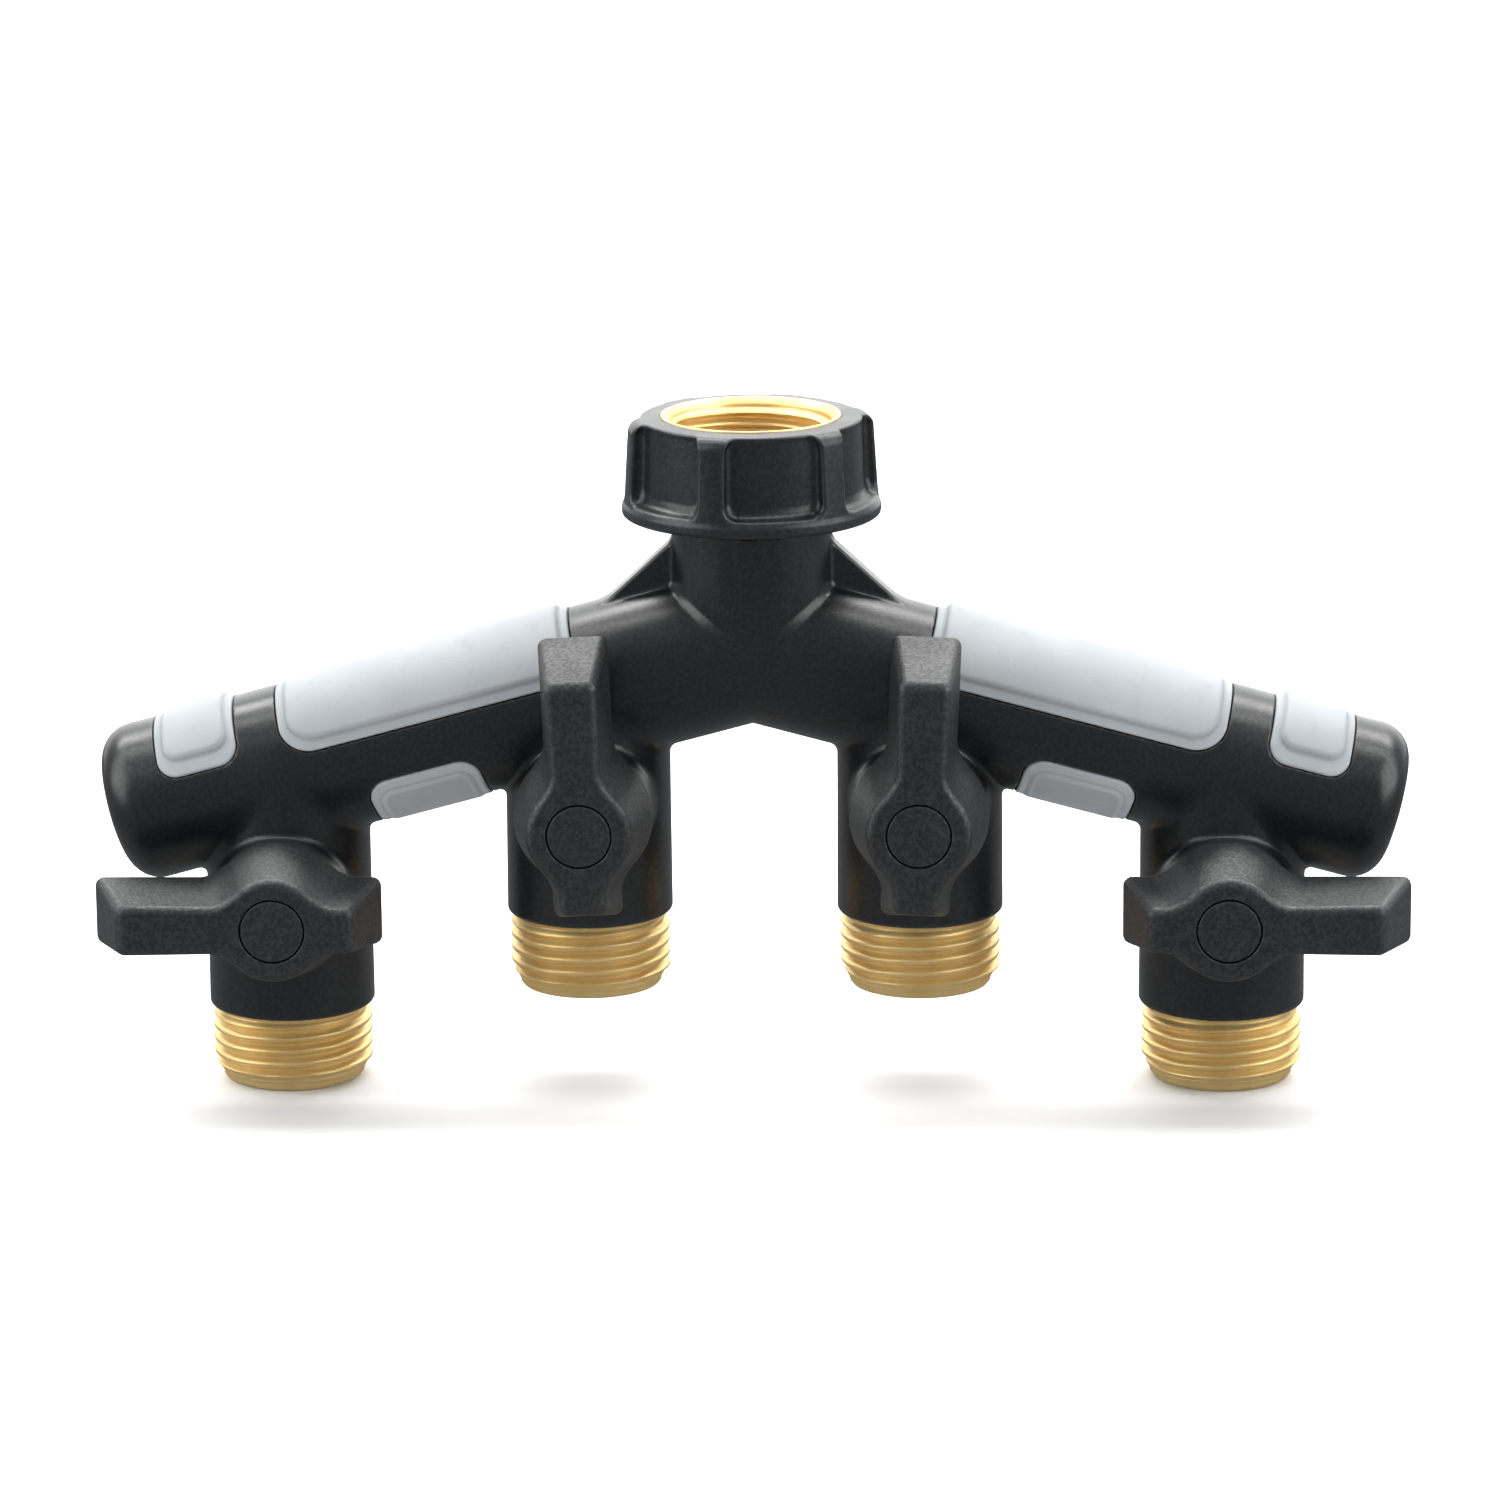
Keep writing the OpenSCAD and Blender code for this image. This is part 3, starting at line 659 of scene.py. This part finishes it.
def make_end_caps():
    """Domed plugs that lap the arms' ends by a little, so that no joint shows."""
    shoulder, crown, plug = 5.6, TIP_LEN - 0.6, 4.6
    lap, lap_r = 0.9, ARM_R + 0.02
    arc = [(lap_r - shoulder + shoulder * math.cos(a), crown - shoulder + shoulder * math.sin(a))
           for a in np.linspace(0, math.pi / 2 - 0.1, 14)]
    dome = [(r, TIP_LEN - (r / 8.3) ** 2 * (TIP_LEN - crown)) for r in (6.5, 5, 3.5, 2, 1, 0.05)]
    plug_r = CHANNEL_R - 0.05
    rim = [(plug_r, ARM_LEN - plug), (plug_r, ARM_LEN - 2 * lap), (lap_r, ARM_LEN - lap)]
    shape = turned(rim + arc + dome + [(0.05, ARM_LEN - plug)])
    for side, turn in SIDES.items():
        name = f"arm_end_cap_{side}"
        cleaned(place(name + "_dome", shape, turn @ ARM_AXES, BODY, "manifold", [name]), 50)


def make_grips():
    for kind, grip in GRIPS.items():
        def field(y, v, s, grip=grip):
            return grip_field(y, v, s, grip)
        middle, half_len = grip["border"][:2]
        reach, half = ARM_R + grip["rise"] + 0.2, half_len + 0.3
        shape = moulded(field, (-reach, -reach, middle - half), (reach, reach, middle + half), 0.4, 0.35)
        for side, turn in SIDES.items():
            name = f"{kind}_{side}"
            place(name + "_skin", shape, turn @ ARM_AXES, GRIP, "manifold", [name])


def make_nut():
    low, high = (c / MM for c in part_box("coupling_nut"))
    shape = moulded(nut_field, low, high, 0.38, 0.4)
    place("coupling_nut_grip", shape, UPRIGHT, NUT, "coupling", ["coupling_nut"])


def make_insert():
    root = INLET_R + THREAD_H
    outside = [(10.08, NUT_BOTTOM + 0.2), (10.28, NUT_BOTTOM), (INSERT_R, NUT_BOTTOM)]
    lip = [(INSERT_R, 5.85), (INSERT_R - 0.08, 6.04), (INSERT_R - 0.25, 6.1), (INSERT_R - 0.5, 6.1),
           (INSERT_R - 0.65, 6.02), (root + 0.1, 5.1), (root, 4.95)]
    rows, per_turn = thread_rows(-5.2, 4.8, root, INLET_R)
    inside = [(root, -5.4), (12.9, -5.6), (12.9, -10.45), (10.28, -10.45), (10.08, -10.65)]
    shape = turned(outside + lip, (rows[::-1], -per_turn), inside)
    cleaned(place("coupling_insert_thread", shape, UPRIGHT, BRASS, "coupling", ["coupling_insert"]))


def make_nipples():
    root = THREAD_R - THREAD_H
    foot = -RIM_DROP
    nose = [(9.0, foot + 0.3), (9.1, foot + 0.08), (9.3, foot), (11.35, foot), (11.6, foot + 0.08),
            (11.95, foot + 0.5), (12.0, foot + 0.75), (12.0, foot + 1.35), (12.1, foot + 1.5),
            (root, foot + 1.65)]
    thread = thread_rows(foot + 1.9, -BARREL_DROP - 0.8, root, THREAD_R)
    above = [(root, -BARREL_DROP - 0.6), (root + 0.2, -BARREL_DROP - 0.35), (root + 0.2, -BARREL_DROP),
             (SLEEVE_R, -BARREL_DROP), (SLEEVE_R, -CAVITY_HALF), (PORT_R, -CAVITY_HALF),
             (PORT_R, -CAVITY_HALF - 6), (9.0, -CAVITY_HALF - 10)]
    shape = turned(nose, thread, above)
    for k, (key, pivot) in enumerate(PIVOTS.items()):
        turn = Matrix.Translation(pivot) @ Matrix.Rotation(math.radians(60 + 25 * k), 4, "Z")
        name = f"outlet_nipple_{key}"
        cleaned(place(name + "_thread", shape, turn, BRASS, "manifold", [name]))


def make_levers():
    lever = moulded(handle_field, (-12, -18, HANDLE_BACK), (12, 31, HANDLE_FRONT), 0.32, 0.4)
    cap = moulded(cap_field, (-5.5, -5.5, CAP_SEAT - 1.2), (5.5, 5.5, HANDLE_FRONT), 0.22, 0.5)
    for key in PIVOTS:
        turn = lever_axes(key)
        body = f"valve_{key}"
        place(f"handle_{key}_lever", lever, turn, LEVER, body, [f"handle_{key}"])
        place(f"handle_cap_{key}_disc", cap, turn, LEVER, body, [f"handle_cap_{key}"])


def finish_cad_nodes():
    """The CAD pieces that stay are inside: they take their slot's material."""
    slots = {row["node"]: row["material_slot"] for row in frame["record"]["subparts"]}
    for name, obj in frame["nodes"].items():
        obj.data.materials.clear()
        obj.data.materials.append(SLOTS[slots[name]])


make_manifold()
make_end_caps()
make_grips()
make_nut()
make_insert()
make_nipples()
make_levers()
finish_cad_nodes()


# ---------------------------------------------------------------- studio
def stage_sheet(name, profile, half_width, material):
    """A sheet of the set, given by its (y, z) outline in metres."""
    verts = [(x, y, z) for y, z in profile for x in (-half_width, half_width)]
    faces = [(2 * k, 2 * k + 1, 2 * k + 3, 2 * k + 2) for k in range(len(profile) - 1)]
    mesh = bpy.data.meshes.new(name)
    mesh.from_pydata(verts, [], faces)
    mesh.polygons.foreach_set("use_smooth", [True] * len(faces))
    mesh.materials.append(material)
    sheet = bpy.data.objects.new(name, mesh)
    bpy.context.scene.collection.objects.link(sheet)
    return sheet


def make_floor():
    """A pale floor that rises into a backdrop. The floor stays out of the mirror image in the plastic."""
    material, tree, shader, where = start_material("pale_floor", Specular_IOR_Level=0.2)
    cloud = noise(tree, where, 300, 2)
    colour = mixed(tree, cloud, (0.84, 0.84, 0.84), (0.86, 0.86, 0.86))
    feed(tree, shader, colour, between(tree, cloud, 0, 1, 0.7, 0.8), noise(tree, where, 4), 0.02, 0.2)
    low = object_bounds()[0].z - 0.0002
    size, start, bend, rise = 3.0, 1.2, 0.5, 1.6
    curve = [(start + bend * math.sin(a), low + bend * (1 - math.cos(a)))
             for a in np.linspace(0, math.pi / 2, 17)]
    stage_sheet("studio_floor", [(-size, low), (start, low)], size, material).visible_glossy = False
    stage_sheet("studio_backdrop", curve + [(start + bend, low + rise)], size, material)


def softbox(name, place_at, target, size, watts, colour=(1, 1, 1)):
    data = bpy.data.lights.new(name, "AREA")
    data.shape = "RECTANGLE"
    data.size, data.size_y = size
    data.energy, data.color = watts, colour
    lamp = bpy.data.objects.new(name, data)
    lamp.location = place_at
    lamp.rotation_euler = (Vector(target) - Vector(place_at)).to_track_quat("-Z", "Y").to_euler()
    bpy.context.scene.collection.objects.link(lamp)


def make_lights():
    world = bpy.data.worlds.new("studio")
    world.use_nodes = True
    world.node_tree.nodes["Background"].inputs["Color"].default_value = (0.95, 0.97, 1, 1)
    world.node_tree.nodes["Background"].inputs["Strength"].default_value = 0.27
    bpy.context.scene.world = world
    softbox("overhead", (0, 0, 0.8), (0, 0, -0.05), (1.6, 0.15), 5.5, (1, 0.995, 0.98))
    softbox("back_top", (0, 0.5, 0.8), (0, 0, -0.05), (1.8, 0.3), 12.5, (1, 0.995, 0.98))
    softbox("backdrop_wash", (0, 0.75, 1.25), (0, 1.75, 0.35), (2.4, 0.5), 60)
    for side in (-1, 1):
        softbox("side_fill", (0.9 * side, -0.3, 0.4), (0, 0, -0.05), (0.9, 0.9), 8)


def make_camera():
    azimuth, elevation, roll = (math.radians(a) for a in (1.84, 14.43, -0.518))
    distance, target = 1.12, Vector((-0.000634, 0, -0.0517))
    back = Vector((math.sin(azimuth) * math.cos(elevation), -math.cos(azimuth) * math.cos(elevation),
                   math.sin(elevation)))
    right = Vector((math.cos(azimuth), math.sin(azimuth), 0))
    turn = Matrix((right, back.cross(right), back)).transposed() @ Matrix.Rotation(roll, 3, "Z")
    data = bpy.data.cameras.new("camera")
    data.lens, data.sensor_width = 159.5, 36
    data.clip_start, data.clip_end = 0.05, 20
    camera = bpy.data.objects.new("camera", data)
    camera.matrix_world = Matrix.Translation(target + distance * back) @ turn.to_4x4()
    bpy.context.scene.collection.objects.link(camera)
    bpy.context.scene.camera = camera


make_floor()
make_lights()
make_camera()
bpy.context.scene.view_settings.view_transform = "Standard"
